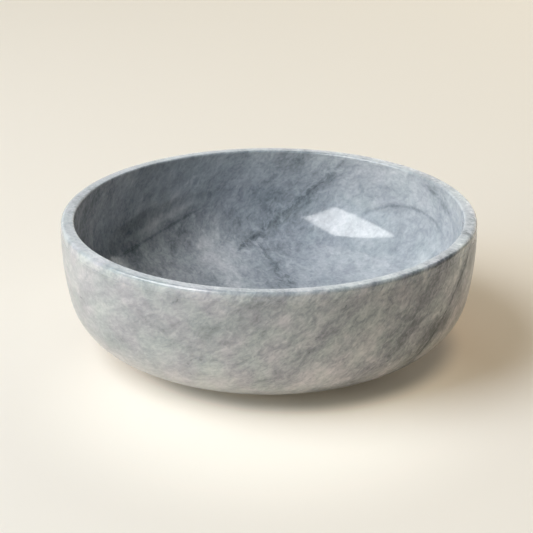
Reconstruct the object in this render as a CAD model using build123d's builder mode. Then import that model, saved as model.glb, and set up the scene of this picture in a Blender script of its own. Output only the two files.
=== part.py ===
from build123d import *
import os
from math import cos, radians, sin

os.makedirs("parts", exist_ok=True)

# A shaving bowl turned from one piece of marble and polished all over. It stands on
# soft stick-on bumpers that keep the stone off the wash stand.
# Millimetres, +Z up. The origin is on the wash stand, under the middle of the bowl.

# Overall
rim_diameter = 127.0
overall_height = 42.0
cavity_depth = 34.5

# Rim: a flat ring with a rounded outer edge and a crisper inner one
rim_width = 4.1
outer_lip_radius = 1.2
inner_lip_radius = 0.7

# Outside wall, from the rim down. Each angle is how far the wall leans inwards from the
# vertical where an arc ends, so the wall starts two degrees the other way and swells a little.
wall_start_angle = -2.0
wall_radius = 92.0
wall_end_angle = 12.0
knuckle_radius = 19.0
knuckle_end_angle = 57.0
base_end_angle = 80.0

# Inside wall, the same way: it starts upright and ends level in the middle of the bowl
inner_wall_radius = 90.0
inner_wall_end_angle = 6.0
inner_knuckle_end_angle = 72.0

# Bumpers
bumper_diameter = 10.0
bumper_height = 1.2
bumper_edge_radius = 0.4
bumper_ring_radius = 32.0
bumper_count = 4


def drop(radius, start_angle, end_angle):
    """How far an arc comes down while its lean goes from one angle to the other."""
    return radius * (sin(radians(end_angle)) - sin(radians(start_angle)))


def step_in(radius, start_angle, end_angle):
    """How far the same arc comes in towards the axis."""
    return radius * (cos(radians(start_angle)) - cos(radians(end_angle)))


# The rim's flat stops where its outer edge and the swell of the wall come to the full width.
outer_flat_radius = (
    rim_diameter / 2
    + step_in(outer_lip_radius, -90, wall_start_angle)
    + step_in(wall_radius, wall_start_angle, 0)
)

# The last arc under the bowl takes up the height that the others leave.
stone_height = overall_height - bumper_height
height_above_base = (
    drop(outer_lip_radius, -90, wall_start_angle)
    + drop(wall_radius, wall_start_angle, wall_end_angle)
    + drop(knuckle_radius, wall_end_angle, knuckle_end_angle)
)
base_radius = (stone_height - height_above_base) / drop(1, knuckle_end_angle, base_end_angle)

# Inside, the knuckle's and the floor's radii are the two that bring the curve to the axis,
# level, at the cavity's depth: two equations, one across and one down.
inner_radius = rim_diameter / 2 - rim_width
across = inner_radius - step_in(inner_wall_radius, 0, inner_wall_end_angle)
down = cavity_depth - inner_lip_radius - drop(inner_wall_radius, 0, inner_wall_end_angle)
knuckle_across = step_in(1, inner_wall_end_angle, inner_knuckle_end_angle)
knuckle_down = drop(1, inner_wall_end_angle, inner_knuckle_end_angle)
floor_across = step_in(1, inner_knuckle_end_angle, 90)
floor_down = drop(1, inner_knuckle_end_angle, 90)
determinant = knuckle_across * floor_down - floor_across * knuckle_down
inner_knuckle_radius = (across * floor_down - floor_across * down) / determinant
floor_height = overall_height - cavity_depth

# The bowl: half its section, with every arc tangent to the one before, turned about Z
with BuildPart() as bowl:
    with BuildSketch(Plane.XZ):
        with BuildLine():
            outer_lip = JernArc(
                start=(outer_flat_radius, overall_height),
                tangent=(1, 0),
                radius=outer_lip_radius,
                arc_size=-90 - wall_start_angle,
            )
            wall = JernArc(
                start=outer_lip @ 1,
                tangent=outer_lip % 1,
                radius=wall_radius,
                arc_size=wall_start_angle - wall_end_angle,
            )
            knuckle = JernArc(
                start=wall @ 1,
                tangent=wall % 1,
                radius=knuckle_radius,
                arc_size=wall_end_angle - knuckle_end_angle,
            )
            base = JernArc(
                start=knuckle @ 1,
                tangent=knuckle % 1,
                radius=base_radius,
                arc_size=knuckle_end_angle - base_end_angle,
            )
            inner_lip = JernArc(
                start=(inner_radius + inner_lip_radius, overall_height),
                tangent=(-1, 0),
                radius=inner_lip_radius,
                arc_size=90,
            )
            inner_wall = JernArc(
                start=inner_lip @ 1,
                tangent=(0, -1),
                radius=inner_wall_radius,
                arc_size=-inner_wall_end_angle,
            )
            inner_knuckle = JernArc(
                start=inner_wall @ 1,
                tangent=inner_wall % 1,
                radius=inner_knuckle_radius,
                arc_size=inner_wall_end_angle - inner_knuckle_end_angle,
            )
            TangentArc(inner_knuckle @ 1, (0, floor_height), tangent=inner_knuckle % 1)
            Line(inner_lip @ 0, outer_lip @ 0)
            Polyline(base @ 1, (0, bumper_height), (0, floor_height))
        make_face()
    revolve(axis=Axis.Z)
bowl.part.label = "bowl"
export_step(bowl.part, "parts/bowl.step")

# The bumpers: low round pads with a softened lower edge, evenly spaced under the foot
for number in range(1, bumper_count + 1):
    angle = radians(45 + 360 / bumper_count * (number - 1))
    centre = (bumper_ring_radius * cos(angle), bumper_ring_radius * sin(angle))
    with BuildPart() as bumper:
        with BuildSketch(Plane(origin=(*centre, 0))):
            Circle(bumper_diameter / 2)
        extrude(amount=bumper_height)
        lower_edge = bumper.edges().group_by(Axis.Z)[0].filter_by(GeomType.CIRCLE)
        fillet(lower_edge, radius=bumper_edge_radius)
    bumper.part.label = f"bumper_{number}"
    export_step(bumper.part, f"parts/bumper_{number}.step")
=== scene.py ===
import math

import bpy
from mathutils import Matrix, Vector


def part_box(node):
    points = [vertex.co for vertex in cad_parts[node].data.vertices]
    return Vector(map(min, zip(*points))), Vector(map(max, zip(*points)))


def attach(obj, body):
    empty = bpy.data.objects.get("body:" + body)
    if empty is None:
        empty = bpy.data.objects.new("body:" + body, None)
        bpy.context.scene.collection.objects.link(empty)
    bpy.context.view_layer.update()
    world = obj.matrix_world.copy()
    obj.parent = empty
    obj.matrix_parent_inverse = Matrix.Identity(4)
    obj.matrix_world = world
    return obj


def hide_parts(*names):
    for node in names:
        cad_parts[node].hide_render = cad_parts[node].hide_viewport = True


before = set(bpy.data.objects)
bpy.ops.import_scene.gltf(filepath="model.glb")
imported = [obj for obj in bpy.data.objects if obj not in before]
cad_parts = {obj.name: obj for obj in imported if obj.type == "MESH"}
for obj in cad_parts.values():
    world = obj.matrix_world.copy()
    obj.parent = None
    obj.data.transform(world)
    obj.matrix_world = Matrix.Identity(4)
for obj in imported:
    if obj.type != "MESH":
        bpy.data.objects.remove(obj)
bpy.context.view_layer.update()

MM = 0.001

# ---------------------------------------------------------------- the bowl's section
# Radii and widths in millimetres. Leans are in degrees from the vertical, positive where the
# wall comes in towards the axis on its way down.
bowl_low, bowl_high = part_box("bowl")
RIM_HEIGHT = bowl_high.z / MM
FOOT_HEIGHT = bowl_low.z / MM
RIM_RADIUS = 63.5
RIM_WIDTH = 4.1
CAVITY_DEPTH = 34.5
OUTER_LIP = 1.2
INNER_LIP = 0.7
WALL = 92.0
KNUCKLE = 19.0
INNER_WALL = 90.0
WALL_START = -2.0
WALL_END = 12.0
KNUCKLE_END = 57.0
BASE_END = 80.0
INNER_WALL_END = 6.0
INNER_KNUCKLE_END = 72.0

# How finely the surfaces are divided: steps of a full turn, the length of one face along the
# section in millimetres, and the most that one face may turn, in degrees.
BOWL_TURNING_STEPS = 384
BUMPER_TURNING_STEPS = 96
SECTION_STEP = 1.3
SHARPEST_TURN = 12.0

# Vertices this close, in millimetres, are one.
SEAM_GAP = 0.01

# Where the normal's part outwards, or down, is more than this, the surface is the outer wall.
WALL_FACING = 0.2


def drop(radius, start, end):
    """How far an arc comes down while its lean goes from start to end."""
    return radius * (math.sin(math.radians(end)) - math.sin(math.radians(start)))


def step_in(radius, start, end):
    """How far the same arc comes in towards the axis."""
    return radius * (math.cos(math.radians(start)) - math.cos(math.radians(end)))


def deselect_all():
    if bpy.context.object and bpy.context.object.mode != "OBJECT":
        bpy.ops.object.mode_set(mode="OBJECT")
    bpy.ops.object.select_all(action="DESELECT")


def start_section(name, point):
    """A new object in edit mode that is one selected vertex: a plane merged to its middle."""
    deselect_all()
    bpy.ops.mesh.primitive_plane_add(size=MM, location=(0, 0, 0))
    piece = bpy.context.object
    piece.name = name
    bpy.ops.object.mode_set(mode="EDIT")
    bpy.ops.mesh.select_all(action="SELECT")
    bpy.ops.mesh.merge(type="CENTER")
    bpy.ops.transform.translate(value=(point[0] * MM, 0, point[1] * MM))
    return piece


def draw_section(start, heading, strokes):
    """Draws on from the selected vertex in the XZ plane, and returns where the section ends.

    A stroke is a line, (length,), or an arc that goes on in the same direction, (radius, turn),
    made by spinning the end vertex about the arc's centre. Headings are in degrees from +X.
    """
    x, z = start
    for stroke in strokes:
        slope = math.radians(heading)
        if len(stroke) == 1:
            length = stroke[0]
            parts = max(1, round(length / (2 * SECTION_STEP)))
            along = Vector((math.cos(slope), 0, math.sin(slope))) * length / parts * MM
            for _ in range(parts):
                bpy.ops.mesh.extrude_region_move(TRANSFORM_OT_translate={"value": along})
            x += length * math.cos(slope)
            z += length * math.sin(slope)
        else:
            radius, turn = stroke
            side = math.copysign(radius, turn)
            centre_x = x - side * math.sin(slope)
            centre_z = z + side * math.cos(slope)
            by_length = math.radians(abs(turn)) * radius / SECTION_STEP
            bpy.ops.mesh.spin(
                steps=max(round(by_length), math.ceil(abs(turn) / SHARPEST_TURN)),
                angle=math.radians(turn),
                center=(centre_x * MM, 0, centre_z * MM),
                axis=(0, 1, 0),
            )
            heading += turn
            slope = math.radians(heading)
            x = centre_x + side * math.sin(slope)
            z = centre_z - side * math.cos(slope)
    return x, z


def turn_on_lathe(steps):
    """Spins the section about Z, closes the seam and the poles, and points the faces outwards."""
    bpy.ops.mesh.select_all(action="SELECT")
    bpy.ops.mesh.spin(steps=steps, angle=2 * math.pi, center=(0, 0, 0), axis=(0, 0, 1))
    bpy.ops.mesh.select_all(action="SELECT")
    bpy.ops.mesh.remove_doubles(threshold=SEAM_GAP * MM)
    bpy.ops.mesh.normals_make_consistent(inside=False)


def make_bowl():
    """The outer wall from the foot up, over the rim, and down the hollow to its middle."""
    base_drop = (
        RIM_HEIGHT
        - FOOT_HEIGHT
        - drop(OUTER_LIP, -90, WALL_START)
        - drop(WALL, WALL_START, WALL_END)
        - drop(KNUCKLE, WALL_END, KNUCKLE_END)
    )
    base = base_drop / drop(1, KNUCKLE_END, BASE_END)
    outer_flat = RIM_RADIUS + step_in(OUTER_LIP, -90, WALL_START) + step_in(WALL, WALL_START, 0)
    foot = (
        outer_flat
        - step_in(OUTER_LIP, -90, WALL_START)
        - step_in(WALL, WALL_START, WALL_END)
        - step_in(KNUCKLE, WALL_END, KNUCKLE_END)
        - step_in(base, KNUCKLE_END, BASE_END)
    )

    # The two lower arcs of the hollow take up what its width and its depth leave over.
    inner_flat = RIM_RADIUS - RIM_WIDTH + INNER_LIP
    across = inner_flat - INNER_LIP - step_in(INNER_WALL, 0, INNER_WALL_END)
    down = CAVITY_DEPTH - INNER_LIP - drop(INNER_WALL, 0, INNER_WALL_END)
    knuckle_across = step_in(1, INNER_WALL_END, INNER_KNUCKLE_END)
    knuckle_down = drop(1, INNER_WALL_END, INNER_KNUCKLE_END)
    floor_across = step_in(1, INNER_KNUCKLE_END, 90)
    floor_down = drop(1, INNER_KNUCKLE_END, 90)
    determinant = knuckle_across * floor_down - floor_across * knuckle_down
    inner_knuckle = (across * floor_down - floor_across * down) / determinant
    inner_floor = (knuckle_across * down - knuckle_down * across) / determinant

    bowl = start_section("marble_bowl", (0, FOOT_HEIGHT))
    foot_edge = draw_section((0, FOOT_HEIGHT), 0, [(foot,)])
    draw_section(
        foot_edge,
        90 - BASE_END,
        [
            (base, BASE_END - KNUCKLE_END),
            (KNUCKLE, KNUCKLE_END - WALL_END),
            (WALL, WALL_END - WALL_START),
            (OUTER_LIP, 90 + WALL_START),
            (outer_flat - inner_flat,),
            (INNER_LIP, 90),
            (INNER_WALL, -INNER_WALL_END),
            (inner_knuckle, INNER_WALL_END - INNER_KNUCKLE_END),
            (inner_floor, INNER_KNUCKLE_END - 90),
        ],
    )
    turn_on_lathe(BOWL_TURNING_STEPS)
    bpy.ops.object.mode_set(mode="OBJECT")
    bpy.ops.object.shade_smooth()
    mark_inside(bowl, inner_flat, outer_flat)
    return bowl


def mark_inside(bowl, inner_flat, outer_flat):
    """Stores which side each place is on: 1 in the hollow, 0 outside, changing across the rim."""
    inside = bowl.data.attributes.new("inside", "FLOAT", "POINT")
    for vertex in bowl.data.vertices:
        place, normal = vertex.co, vertex.normal
        radius = math.hypot(place.x, place.y)
        outwards = (place.x * normal.x + place.y * normal.y) / max(radius, MM)
        across_rim = (outer_flat - radius / MM) / (outer_flat - inner_flat)
        outside = outwards > WALL_FACING or normal.z < -WALL_FACING
        inside.data[vertex.index].value = 0 if outside else min(max(across_rim, 0), 1)


# ---------------------------------------------------------------- the bumpers
# Millimetres and degrees. The sink mark is a shallow dish that cooling leaves in the lower face.
FILM_THICKNESS = 0.12
FILM_OVERHANG = 0.12
BUMPER_TAPER = 5.0
BUMPER_EDGE = 0.35
SINK_RADIUS = 2.2
SINK_BEND = 1.6
SINK_TURN = 16.0
SMOOTH_ANGLE = 35.0


def make_bumper(node):
    """A moulded soft bumper: a shallow sink mark below, a rounded edge, a tapered side, and the
    thin film of adhesive on top that holds it to the stone."""
    low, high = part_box(node)
    radius = (high.x - low.x) / 2 / MM
    height = (high.z - low.z) / MM
    sink = 2 * SINK_BEND * (1 - math.cos(math.radians(SINK_TURN)))
    sink_slope = 2 * SINK_BEND * math.sin(math.radians(SINK_TURN))
    side_turn = 90 - BUMPER_TAPER
    side_height = height - FILM_THICKNESS - step_in(BUMPER_EDGE, 0, side_turn)
    taper = math.radians(BUMPER_TAPER)
    side = side_height / math.cos(taper)
    top_radius = radius - FILM_OVERHANG
    edge_start = top_radius - side * math.sin(taper) - BUMPER_EDGE * math.cos(taper)

    bumper = start_section(node + "_moulding", (0, sink))
    end = draw_section(
        (0, sink),
        0,
        [
            (SINK_RADIUS,),
            (SINK_BEND, -SINK_TURN),
            (SINK_BEND, SINK_TURN),
            (edge_start - SINK_RADIUS - sink_slope,),
            (BUMPER_EDGE, side_turn),
            (side,),
        ],
    )
    end = draw_section(end, 0, [(FILM_OVERHANG,)])
    end = draw_section(end, 90, [(FILM_THICKNESS,)])
    draw_section(end, 180, [(radius,)])
    turn_on_lathe(BUMPER_TURNING_STEPS)
    bpy.ops.transform.translate(value=((low.x + high.x) / 2, (low.y + high.y) / 2, low.z))
    bpy.ops.object.mode_set(mode="OBJECT")
    bpy.ops.object.shade_smooth_by_angle(angle=math.radians(SMOOTH_ANGLE))
    return bumper


# ---------------------------------------------------------------- materials
def linear(colour):
    """An sRGB hex colour as the linear numbers that the shaders read."""
    channels = [int(colour[place:place + 2], 16) / 255 for place in (1, 3, 5)]
    return [c / 12.92 if c <= 0.04045 else ((c + 0.055) / 1.055) ** 2.4 for c in channels] + [1]


def add(tree, kind, settings=None, inputs=None):
    """Adds a node with its settings, and sets or links its inputs."""
    node = tree.nodes.new(kind)
    for name, value in (settings or {}).items():
        setattr(node, name, value)
    for name, value in (inputs or {}).items():
        if isinstance(value, bpy.types.NodeSocket):
            tree.links.new(value, node.inputs[name])
        else:
            node.inputs[name].default_value = value
    return node


def new_material(name):
    material = bpy.data.materials.new(name)
    material.use_nodes = True
    material.node_tree.nodes.clear()
    return material, material.node_tree


def set_stops(ramp, stops):
    """Gives a colour ramp its stops, as positions and linear colours."""
    while len(ramp.elements) > 1:
        ramp.elements.remove(ramp.elements[-1])
    for number, (position, colour) in enumerate(stops):
        stop = ramp.elements[0] if number == 0 else ramp.elements.new(position)
        stop.position = position
        stop.color = colour


def in_millimetres(tree):
    """The place on the piece, in millimetres."""
    place = add(tree, "ShaderNodeTexCoord").outputs["Object"]
    scaled = add(tree, "ShaderNodeVectorMath", {"operation": "SCALE"}, {0: place, "Scale": 1 / MM})
    return scaled.outputs[0]


def folded(tree, place, size, reach):
    """The same place in stone that was folded: moved by up to reach over folds of that size."""
    pushes = add(tree, "ShaderNodeTexNoise", None, {"Vector": place, "Scale": 1 / size, "Detail": 3})
    centred = add(tree, "ShaderNodeVectorMath", {"operation": "SUBTRACT"},
                  {0: pushes.outputs["Color"], 1: (0.5, 0.5, 0.5)})
    moved = add(tree, "ShaderNodeVectorMath", {"operation": "MULTIPLY_ADD"},
                {0: centred.outputs[0], 1: (2 * reach, 2 * reach, 2 * reach), 2: place})
    return moved.outputs[0]


# The stone is foliated: its colour lies in sheets, which this direction crosses. The sheets are
# folded at three scales: the size of the folds and how far they move the stone, in millimetres.
FOLIATION = Vector((-0.60, -0.38, 0.70)).normalized()
SMALL_WAVES = (5.0, 0.9)
BAND_WAVES = (9.0, 2.2)
BROAD_FOLDS = (34.0, 8.0)

# Broad bands: the distance along that direction in millimetres, and how light the stone is.
BANDS = [
    (-60, 1.00), (-26, 1.04), (-18, 1.10), (-10, 0.98), (-4, 0.92), (0, 0.82), (4.5, 1.03),
    (8, 1.01), (11.5, 0.88), (16, 0.93), (21.5, 1.14), (27, 1.04), (34, 0.93), (44, 1.12),
    (53, 0.91), (60, 0.97), (68, 1.03), (80, 1.00),
]

# How strong the bands and streaks are, from one side of the bowl to the other: the places along
# X in millimetres, and the strength at each.
OUTER_CONTRAST = ((-40, 70), (0.95, 2.3))
INNER_CONTRAST = ((-60, 60), (1.35, 0.8))

# Colour within the sheets: how long and how thick its streaks are in millimetres, how strong
# they are, and how much they curl. Real calcite grains are a few tenths of a millimetre; these
# are drawn about a millimetre long, so that they show.
FIGURE = [
    ("clouds", 26.0, 9.0, 0.90, 0.0),
    ("feathers", 6.5, 3.0, 0.80, 0.6),
    ("fibres", 2.6, 1.1, 0.75, 0.8),
    ("grains", 1.1, 0.8, 0.50, 0.0),
]

# Larger places that are darker or lighter: the middle and the reach in millimetres, and how
# much lighter the stone is there. The first is partly the stone's own smoke and partly painted
# shade on the hollow's left wall, which faces away from the softbox. The last three are painted
# light and shade that only even out the brightness under this studio's light, and are not known
# to be in the stone: painted light on the front and on the lip, painted shade on the right front.
PATCHES = [
    ("smoky_back", (-52, 20, 30), 46, -0.24),
    ("smoky_wall", (6, 58, 30), 26, -0.07),
    ("smoky_shoulder", (40, 42, 31), 24, -0.08),
    ("pale_floor", (-9, 32, 12), 26, 0.25),
    ("pale_swirl", (-20, -57, 11), 22, 0.10),
    ("pale_front", (14, -60, 19), 22, 0.22),
    ("pale_lip", (27, -57, 38), 15, 0.24),
    ("dark_front", (40, -46, 20), 20, -0.12),
]

# Veins: the direction across the vein's sheet and its distance from the origin, the vein's
# middle and reach, the half widths of its core and of its haze, how dark each of them is, and
# how far the streaks break them up. A negative darkness is a pale seam. A vein that is broken
# up more than RAGGED also wanders with the small waves.
RAGGED = 0.4
VEINS = [
    ("back", (0.64, -0.307, -0.704), -28.9, (7, 52, 24), 29, 1.1, 5.5, 0.36, 0.40, 0.8),
    ("floor", (0.66, 0.47, -0.58), 10.4, (3, 34, 12), 19, 0.7, 3.2, 0.40, 0.20, 0.7),
    # The arc is no vein but a painted reflection: the rim's dark edge mirrored in the polished hollow.
    ("arc", (-0.584, -0.389, 0.712), -19.5, (46, 38, 30), 26, 0.5, 1.4, 0.24, 0.10, 0.2),
    ("left", (-0.464, 0.233, 0.855), 43.5, (-36, 38, 21), 24, 0.5, 1.4, 0.40, 0.14, 0.2),
    ("left_seam", (-0.464, 0.233, 0.855), 46.6, (-36, 42, 24), 22, 1.3, 2.6, -0.20, -0.20, 0.4),
    ("side", (-0.648, -0.395, 0.651), -3.7, (52, -32, 27), 34, 0.6, 2.8, 0.60, 0.30, 0.45),
    ("rim", (0.468, 0.452, -0.759), 7.6, (55, 20, 36), 15, 0.8, 2.6, 0.20, 0.12, 0.6),
]

STONE_COLOURS = [
    (0.00, "#4C5359"),
    (0.25, "#747B81"),
    (0.50, "#A2A8AE"),
    (0.72, "#C8CCCF"),
    (1.00, "#E6E8E9"),
]


# Tints on the stone's colour, as red, green and blue let through. They were matched under this
# studio's light, so they hold painted light and shade as well as the stone's own colour: the
# hollow is painted lighter and bluer, as the cool softbox lights it, the outside darker and
# warmer, as it lies in shade with warm light from the floor, and the rim lighter, a painted sheen.
OUTER_TINT_WITH_PAINTED_SHADE = (0.87, 0.815, 0.795, 1)
HOLLOW_TINT_WITH_PAINTED_LIGHT = (1.09, 1.03, 1.02, 1)
RIM_TINT_WITH_PAINTED_SHEEN = (1.08, 1.02, 1.00, 1)
WARM_STAIN = (1.03, 0.98, 0.985, 1)
GREEN_STAIN = (0.97, 1.0, 0.955, 1)
STAIN_SIZE = 9.0
STAIN_IN_HOLLOW = 0.3

# Where the rim starts and where it is complete, below the top in millimetres. The rim is painted
# lighter there, a painted sheen, and takes the best polish.
RIM_FADE = (3.4, 1.0)

# The roughness of the two polishes, and the depth of the pits between grains in millimetres.
MIRROR_POLISH = 0.09
SOFT_POLISH = 0.26
CALCITE_IOR = 1.66
PIT_DEPTH = 0.01


def broad_bands(tree, place):
    """The stone's broad bands, as how much lighter or darker than average it is."""
    height = add(tree, "ShaderNodeVectorMath", {"operation": "DOT_PRODUCT"},
                 {0: folded(tree, place, *BAND_WAVES), 1: FOLIATION})
    lowest, highest = BANDS[0][0], BANDS[-1][0]
    spread = add(tree, "ShaderNodeMapRange", None,
                 {"Value": height.outputs["Value"], "From Min": lowest, "From Max": highest})
    bands = add(tree, "ShaderNodeValToRGB", None, {"Fac": spread.outputs[0]})
    bands.color_ramp.interpolation = "B_SPLINE"
    # A ramp holds no more than 1, so each band is stored at half its lightness.
    set_stops(bands.color_ramp, [((distance - lowest) / (highest - lowest), (light / 2,) * 3 + (1,))
                                 for distance, light in BANDS])
    band = add(tree, "ShaderNodeMath", {"operation": "MULTIPLY_ADD"},
               {0: bands.outputs["Color"], 1: 2.0, 2: -1.0})
    return band.outputs[0]


def contrast(tree, place, inside):
    """How strong the pattern is, outside and in the hollow."""
    across = add(tree, "ShaderNodeSeparateXYZ", None, {0: place}).outputs["X"]
    (left, right), (at_left, at_right) = OUTER_CONTRAST
    outer = add(tree, "ShaderNodeMapRange", {"interpolation_type": "SMOOTHSTEP"},
                {"Value": across, "From Min": left, "From Max": right,
                 "To Min": at_left, "To Max": at_right})
    (left, right), (at_left, at_right) = INNER_CONTRAST
    inner = add(tree, "ShaderNodeMapRange", None,
                {"Value": across, "From Min": left, "From Max": right,
                 "To Min": at_left, "To Max": at_right})
    strength = add(tree, "ShaderNodeMix", None,
                   {"Factor": inside, "A": outer.outputs[0], "B": inner.outputs[0]})
    return strength.outputs[0]


def drawn_out_streaks(tree, waved, kneaded):
    """One noise for each row of FIGURE, drawn out along the sheets."""
    upright = FOLIATION.rotation_difference(Vector((0, 0, 1))).to_euler()
    streaks = {}
    for name, length, thickness, _, curl in FIGURE:
        turned = add(tree, "ShaderNodeMapping", {"vector_type": "POINT"},
                     {"Vector": kneaded if name == "clouds" else waved, "Rotation": upright})
        drawn = add(tree, "ShaderNodeMapping", {"vector_type": "POINT"},
                    {"Vector": turned.outputs[0], "Scale": (1 / length, 1 / length, 1 / thickness)})
        streaks[name] = add(tree, "ShaderNodeTexNoise", None,
                            {"Vector": drawn.outputs[0], "Scale": 1.0, "Detail": 4.0,
                             "Roughness": 0.6, "Distortion": curl}).outputs["Fac"]
    return streaks


def darkened_by_veins(tree, place, waved, streaks, tone):
    """The tone with its veins and one painted reflection drawn in, and how deep in a vein each place is.
    """
    depth = 0.0
    for name, normal, distance, middle, reach, core, haze, core_dark, haze_dark, broken_up in VEINS:
        along = add(tree, "ShaderNodeVectorMath", {"operation": "DOT_PRODUCT"},
                    {0: waved if broken_up > RAGGED else place, 1: Vector(normal).normalized()})
        offset = add(tree, "ShaderNodeMath", {"operation": "SUBTRACT"},
                     {0: along.outputs["Value"], 1: distance})
        away = add(tree, "ShaderNodeMath", {"operation": "ABSOLUTE"}, {0: offset.outputs[0]})
        from_middle = add(tree, "ShaderNodeVectorMath", {"operation": "DISTANCE"},
                          {0: place, 1: middle})
        near = add(tree, "ShaderNodeMapRange", {"interpolation_type": "SMOOTHSTEP"},
                   {"Value": from_middle.outputs["Value"], "From Min": reach * 0.6,
                    "From Max": reach, "To Min": 1.0, "To Max": 0.0})
        for half_width, dark, patchy in ((core, core_dark, "fibres"), (haze, haze_dark, "feathers")):
            line = add(tree, "ShaderNodeMapRange", {"interpolation_type": "SMOOTHSTEP"},
                       {"Value": away.outputs[0], "From Min": 0.0, "From Max": half_width,
                        "To Min": dark, "To Max": 0.0})
            broken = add(tree, "ShaderNodeMapRange", None,
                         {"Value": streaks[patchy], "From Min": 0.35, "From Max": 0.6,
                          "To Min": 1.0, "To Max": 1.0 - broken_up})
            ended = add(tree, "ShaderNodeMath", {"operation": "MULTIPLY"},
                        {0: line.outputs[0], 1: near.outputs[0]})
            shade = add(tree, "ShaderNodeMath", {"operation": "MULTIPLY"},
                        {0: ended.outputs[0], 1: broken.outputs[0]})
            tone = add(tree, "ShaderNodeMath", {"operation": "SUBTRACT"},
                       {0: tone, 1: shade.outputs[0]}).outputs[0]
            depth = add(tree, "ShaderNodeMath", {"operation": "MAXIMUM"},
                        {0: depth, 1: shade.outputs[0]}).outputs[0]
    return tone, depth


def stone_tone(tree, place, inside):
    """How light the stone is, with its streaks and the depth of its veins."""
    waved = folded(tree, place, *SMALL_WAVES)
    kneaded = folded(tree, waved, *BROAD_FOLDS)
    strength = contrast(tree, place, inside)
    streaks = drawn_out_streaks(tree, waved, kneaded)
    tone = add(tree, "ShaderNodeMath", {"operation": "MULTIPLY_ADD"},
               {0: broad_bands(tree, place), 1: strength, 2: 1.0}).outputs[0]
    for name, _, _, weight, _ in FIGURE:
        centred = add(tree, "ShaderNodeMath", {"operation": "SUBTRACT"}, {0: streaks[name], 1: 0.5})
        weighed = add(tree, "ShaderNodeMath", {"operation": "MULTIPLY"},
                      {0: centred.outputs[0], 1: strength})
        tone = add(tree, "ShaderNodeMath", {"operation": "MULTIPLY_ADD"},
                   {0: weighed.outputs[0], 1: weight, 2: tone}).outputs[0]
    # Some patches are painted light and shade rather than the stone's own colour.
    for name, middle, reach, change in PATCHES:
        away = add(tree, "ShaderNodeVectorMath", {"operation": "DISTANCE"}, {0: kneaded, 1: middle})
        patch = add(tree, "ShaderNodeMapRange", {"interpolation_type": "SMOOTHSTEP"},
                    {"Value": away.outputs["Value"], "From Min": 0.0, "From Max": reach,
                     "To Min": change, "To Max": 0.0})
        tone = add(tree, "ShaderNodeMath", {"operation": "ADD"},
                   {0: tone, 1: patch.outputs[0]}).outputs[0]
    tone, vein_depth = darkened_by_veins(tree, place, waved, streaks, tone)
    return tone, streaks, vein_depth, kneaded


def stone_colour(tree, tone, kneaded, inside, on_rim):
    """The tone as a colour, stained faintly warm and green, and coloured in three ways: outside, in the
    hollow and on the rim. These carry painted light and shade: darker and warmer outside, lighter
    and bluer in the hollow, lighter on the rim."""
    # Tones run from 0 to 2 and the ramp from 0 to 1.
    halved = add(tree, "ShaderNodeMath", {"operation": "DIVIDE"}, {0: tone, 1: 2.0})
    stone = add(tree, "ShaderNodeValToRGB", None, {"Fac": halved.outputs[0]})
    set_stops(stone.color_ramp, [(position, linear(colour)) for position, colour in STONE_COLOURS])
    # Painted light and shade: the outside darker and warmer, the hollow and the rim lighter.
    wall_tint_and_painted_light = add(tree, "ShaderNodeMix", {"data_type": "RGBA"},
                    {"Factor": inside, 6: OUTER_TINT_WITH_PAINTED_SHADE, 7: HOLLOW_TINT_WITH_PAINTED_LIGHT})
    tint_and_painted_light = add(tree, "ShaderNodeMix", {"data_type": "RGBA"},
               {"Factor": on_rim, 6: wall_tint_and_painted_light.outputs[2], 7: RIM_TINT_WITH_PAINTED_SHEEN})
    tinted_and_painted = add(tree, "ShaderNodeMix", {"data_type": "RGBA", "blend_type": "MULTIPLY"},
                 {"Factor": 1.0, 6: stone.outputs["Color"], 7: tint_and_painted_light.outputs[2]})
    stains = add(tree, "ShaderNodeTexNoise", None,
                 {"Vector": kneaded, "Scale": 1 / STAIN_SIZE, "Detail": 2.0})
    hue = add(tree, "ShaderNodeValToRGB", None, {"Fac": stains.outputs["Fac"]})
    set_stops(hue.color_ramp, [(0.35, WARM_STAIN), (0.65, GREEN_STAIN)])
    stained = add(tree, "ShaderNodeMapRange", None,
                  {"Value": inside, "To Min": 1.0, "To Max": STAIN_IN_HOLLOW})
    colour = add(tree, "ShaderNodeMix", {"data_type": "RGBA", "blend_type": "MULTIPLY"},
                 {"Factor": stained.outputs[0], 6: tinted_and_painted.outputs[2], 7: hue.outputs["Color"]})
    return colour.outputs[2]


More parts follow.
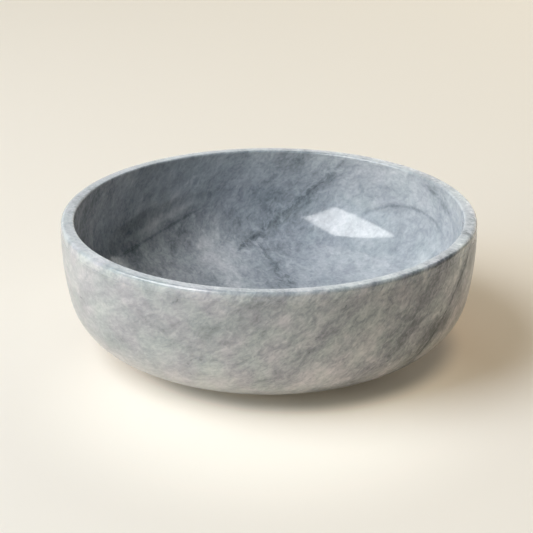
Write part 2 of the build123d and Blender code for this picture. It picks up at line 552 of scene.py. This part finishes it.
def polished_grey_marble():
    """Blue-grey foliated marble, turned and polished: calcite grains drawn out into feathery
    sheets, smoky veins, a mirror polish in the hollow and a softer one outside."""
    material, tree = new_material("polished_blue_grey_marble")
    place = in_millimetres(tree)
    inside = add(tree, "ShaderNodeAttribute", {"attribute_name": "inside"}).outputs["Fac"]
    height = add(tree, "ShaderNodeSeparateXYZ", None, {0: place}).outputs["Z"]
    on_rim = add(tree, "ShaderNodeMapRange", None,
                 {"Value": height, "From Min": RIM_HEIGHT - RIM_FADE[0],
                  "From Max": RIM_HEIGHT - RIM_FADE[1]}).outputs[0]
    tone, streaks, vein_depth, kneaded = stone_tone(tree, place, inside)
    colour = stone_colour(tree, tone, kneaded, inside, on_rim)

    # The hollow and the rim take the best polish; streaks take it unevenly, and veins badly.
    polished = add(tree, "ShaderNodeMath", {"operation": "MAXIMUM"}, {0: inside, 1: on_rim})
    smooth = add(tree, "ShaderNodeMapRange", None,
                 {"Value": polished.outputs[0], "To Min": SOFT_POLISH, "To Max": MIRROR_POLISH})
    streaky = add(tree, "ShaderNodeMath", {"operation": "MULTIPLY_ADD"},
                  {0: streaks["feathers"], 1: 0.05, 2: smooth.outputs[0]})
    roughness = add(tree, "ShaderNodeMath", {"operation": "MULTIPLY_ADD"},
                    {0: vein_depth, 1: 0.6, 2: streaky.outputs[0]})
    pits = add(tree, "ShaderNodeBump", None,
               {"Height": streaks["grains"], "Distance": PIT_DEPTH * MM, "Strength": 0.3})
    surface = add(tree, "ShaderNodeBsdfPrincipled", None,
                  {"Base Color": colour, "Roughness": roughness.outputs[0],
                   "IOR": CALCITE_IOR, "Normal": pits.outputs[0]})
    add(tree, "ShaderNodeOutputMaterial", None, {"Surface": surface.outputs[0]})
    return material


# Sizes in millimetres. The grain of the mould is finer in truth, and drawn coarser to show.
POLYURETHANE_IOR = 1.50
MILK_CLOUD = 1.8
MOULD_GRAIN = 0.25
DUST_HEIGHT = 0.5


def moulded_soft_polyurethane():
    """Milky polyurethane, moulded with a satin face that picks up dust where it stands; the
    adhesive film on its top is a little yellower."""
    material, tree = new_material("moulded_milky_polyurethane")
    place = in_millimetres(tree)
    height = add(tree, "ShaderNodeSeparateXYZ", None, {0: place}).outputs["Z"]
    cloudy = add(tree, "ShaderNodeTexNoise", None,
                 {"Vector": place, "Scale": 1 / MILK_CLOUD, "Detail": 3})
    dusty = add(tree, "ShaderNodeTexNoise", None,
                {"Vector": place, "Scale": 1 / MOULD_GRAIN, "Detail": 2})
    milk = add(tree, "ShaderNodeValToRGB", None, {"Fac": cloudy.outputs["Fac"]})
    set_stops(milk.color_ramp, [(0.3, linear("#C3C7C4")), (0.7, linear("#D8DAD6"))])
    low_down = add(tree, "ShaderNodeMapRange", None,
                   {"Value": height, "From Min": 0.0, "From Max": DUST_HEIGHT,
                    "To Min": 0.6, "To Max": 0.0})
    dust = add(tree, "ShaderNodeMath", {"operation": "MULTIPLY"},
               {0: low_down.outputs[0], 1: dusty.outputs["Fac"]})
    worn = add(tree, "ShaderNodeMix", {"data_type": "RGBA"},
               {"Factor": dust.outputs[0], 6: milk.outputs["Color"], 7: linear("#8F8B84")})
    film_edge = FOOT_HEIGHT - FILM_THICKNESS
    on_film = add(tree, "ShaderNodeMath", {"operation": "GREATER_THAN"},
                  {0: height, 1: film_edge - SEAM_GAP})
    colour = add(tree, "ShaderNodeMix", {"data_type": "RGBA"},
                 {"Factor": on_film.outputs[0], 6: worn.outputs[2], 7: linear("#D9D2B4")})
    satin = add(tree, "ShaderNodeBump", None,
                {"Height": dusty.outputs["Fac"], "Distance": 0.02 * MM, "Strength": 0.4})
    roughness = add(tree, "ShaderNodeMapRange", None,
                    {"Value": dusty.outputs["Fac"], "To Min": 0.34, "To Max": 0.52})
    surface = add(tree, "ShaderNodeBsdfPrincipled", None,
                  {"Base Color": colour.outputs[2], "Roughness": roughness.outputs[0],
                   "IOR": POLYURETHANE_IOR, "Normal": satin.outputs[0]})
    add(tree, "ShaderNodeOutputMaterial", None, {"Surface": surface.outputs[0]})
    return material


# ---------------------------------------------------------------- pieces
bowl = make_bowl()
bowl.data.materials.append(polished_grey_marble())
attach(bowl, "root")
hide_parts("bowl")

polyurethane = moulded_soft_polyurethane()
for node in ("bumper_1", "bumper_2", "bumper_3", "bumper_4"):
    bumper = make_bumper(node)
    bumper.data.materials.append(polyurethane)
    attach(bumper, "root")
    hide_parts(node)


# ---------------------------------------------------------------- stage, camera and light
# The sheet under the bowl is SHEET_SIZE metres wide. It glows a little, painted light that keeps
# its shadows warm: more in a painted pool of light in front of the bowl, and less in a painted
# contact shadow where the bowl nearly touches it. The places, and the distances from them over
# which the glow changes, are in millimetres.
SHEET_SIZE = 12
SHEET_COLOUR = "#D8D5D0"
SHEET_GLOW = "#816B4E"
POOL_GLOW = "#AC9E89"
POOL_PLACE = (0, -47, 0)
POOL_REACH = (25, 78)
CONTACT_PLACE = (7, -1, 0)
CONTACT_REACH = (45, 55)
GLOW_IN_PAINTED_CONTACT_SHADOW = 0.15


def lay_floor():
    """A pale sheet of matt cream paper with no gloss. Its glow is painted light: it keeps its
    shadows warm, makes a painted pool of light in front of the bowl, and leaves a painted contact
    shadow where the bowl nearly touches it.
    """
    deselect_all()
    bpy.ops.mesh.primitive_plane_add(size=SHEET_SIZE, location=(0, 0, 0))
    floor = bpy.context.object
    floor.name = "floor"
    material, tree = new_material("matt_cream_sheet")
    place = in_millimetres(tree)
    from_contact = add(tree, "ShaderNodeVectorMath", {"operation": "DISTANCE"},
                       {0: place, 1: CONTACT_PLACE})
    from_pool = add(tree, "ShaderNodeVectorMath", {"operation": "DISTANCE"},
                    {0: place, 1: POOL_PLACE})
    # Painted contact shadow: the glow falls away where the bowl nearly touches the sheet.
    outside_painted_contact_shadow = add(tree, "ShaderNodeMapRange", {"interpolation_type": "SMOOTHSTEP"},
                      {"Value": from_contact.outputs["Value"], "From Min": CONTACT_REACH[0],
                       "From Max": CONTACT_REACH[1], "To Min": GLOW_IN_PAINTED_CONTACT_SHADOW, "To Max": 1.0})
    # Painted pool of light in front of the bowl.
    in_pool = add(tree, "ShaderNodeMapRange", {"interpolation_type": "SMOOTHSTEP"},
                  {"Value": from_pool.outputs["Value"], "From Min": POOL_REACH[0],
                   "From Max": POOL_REACH[1], "To Min": 1.0, "To Max": 0.0})
    glow = add(tree, "ShaderNodeMix", {"data_type": "RGBA"},
               {"Factor": in_pool.outputs[0], 6: linear(SHEET_GLOW), 7: linear(POOL_GLOW)})
    surface = add(tree, "ShaderNodeBsdfPrincipled", None,
                  {"Base Color": linear(SHEET_COLOUR), "Roughness": 0.9,
                   "Emission Color": glow.outputs[2], "Emission Strength": outside_painted_contact_shadow.outputs[0]})
    add(tree, "ShaderNodeOutputMaterial", None, {"Surface": surface.outputs[0]})
    floor.data.materials.append(material)


# A long lens from a little above, aimed at the middle of the bowl. The lens is in millimetres
# and the distance in metres.
AIM = Vector((-0.3, 8.5, 20.9)) * MM
CAMERA_DISTANCE = 0.6
CAMERA_ELEVATION = math.radians(22.09)
CAMERA_ROLL = math.radians(0.12)
LENS = 129
SENSOR_WIDTH = 36


def place_camera():
    data = bpy.data.cameras.new("camera")
    data.lens = LENS
    data.sensor_width = SENSOR_WIDTH
    camera = bpy.data.objects.new("camera", data)
    towards_camera = Vector((0, -math.cos(CAMERA_ELEVATION), math.sin(CAMERA_ELEVATION)))
    camera.location = AIM + CAMERA_DISTANCE * towards_camera
    camera.rotation_euler = (math.pi / 2 - CAMERA_ELEVATION, CAMERA_ROLL, 0)
    bpy.context.scene.collection.objects.link(camera)
    bpy.context.scene.camera = camera


def around(azimuth, elevation):
    """A direction: azimuth 0 is the camera's side and 90 is the left, in degrees."""
    turn, rise = math.radians(azimuth), math.radians(elevation)
    level = math.cos(rise)
    return Vector((-level * math.sin(turn), -level * math.cos(turn), math.sin(rise)))


def area_light(name, size, place, facing, colour):
    """A rectangular light of one brightness all over; colour is that brightness, linear."""
    data = bpy.data.lights.new(name, "AREA")
    data.shape = "RECTANGLE"
    data.size, data.size_y = size
    data.energy = math.pi * size[0] * size[1]
    data.color = colour
    light = bpy.data.objects.new(name, data)
    light.location = place
    light.rotation_euler = Vector(facing).to_track_quat("-Z", "Y").to_euler()
    bpy.context.scene.collection.objects.link(light)
    return light


def light_studio():
    """A softbox high on the left, which the hollow mirrors, and three soft cards around."""
    area_light("softbox", (0.92, 0.77), (-0.61, -0.20, 1.01), (0.92, 0.06, -0.38), (5.8, 5.8, 5.8))
    cards = [
        ("cool_card", (0.7, 0.4), around(65, 32), (0.6, 1.7, 3.4)),
        ("left_card", (0.7, 0.35), around(70, 11), (7.8, 7.2, 5.7)),
        ("warm_card", (0.85, 0.35), around(225, 10), (5.7, 5.2, 4.3)),
    ]
    for name, size, place, colour in cards:
        light = area_light(name, size, place, -place, colour)
        light.visible_glossy = False

    # A bright wall behind, which shows only in the polish.
    backdrop = area_light("backdrop", (3.0, 1.2), (0, 1.5, 0.6), (0, -1, 0), (1.3, 1.3, 1.25))
    backdrop.visible_diffuse = False


# Where the room glows, and how bright it is there, as linear red, green and blue.
ROOM_GLOW = (
    (around(73, 25), (0.28, 0.38, 0.30)),
    (around(180, 25), (0.23, 0.26, 0.28)),
)
ROOM_FALLOFF = 1.5


def light_room():
    """A dim room that glows softly on the left and behind."""
    world = bpy.data.worlds.new("room")
    bpy.context.scene.world = world
    world.use_nodes = True
    tree = world.node_tree
    tree.nodes.clear()
    direction = add(tree, "ShaderNodeTexCoord").outputs["Generated"]
    total = (0, 0, 0)
    for side, colour in ROOM_GLOW:
        towards = add(tree, "ShaderNodeVectorMath", {"operation": "DOT_PRODUCT"},
                      {0: direction, 1: side}).outputs["Value"]
        facing = add(tree, "ShaderNodeMath", {"operation": "MAXIMUM"}, {0: towards, 1: 0.0})
        glow = add(tree, "ShaderNodeMath", {"operation": "POWER"}, {0: facing.outputs[0], 1: ROOM_FALLOFF})
        total = add(tree, "ShaderNodeVectorMath", {"operation": "MULTIPLY_ADD"},
                    {0: glow.outputs[0], 1: colour, 2: total}).outputs[0]
    background = add(tree, "ShaderNodeBackground", None, {"Color": total, "Strength": 1.0})
    add(tree, "ShaderNodeOutputWorld", None, {"Surface": background.outputs[0]})


lay_floor()
place_camera()
light_studio()
light_room()
bpy.context.scene.view_settings.view_transform = "Standard"
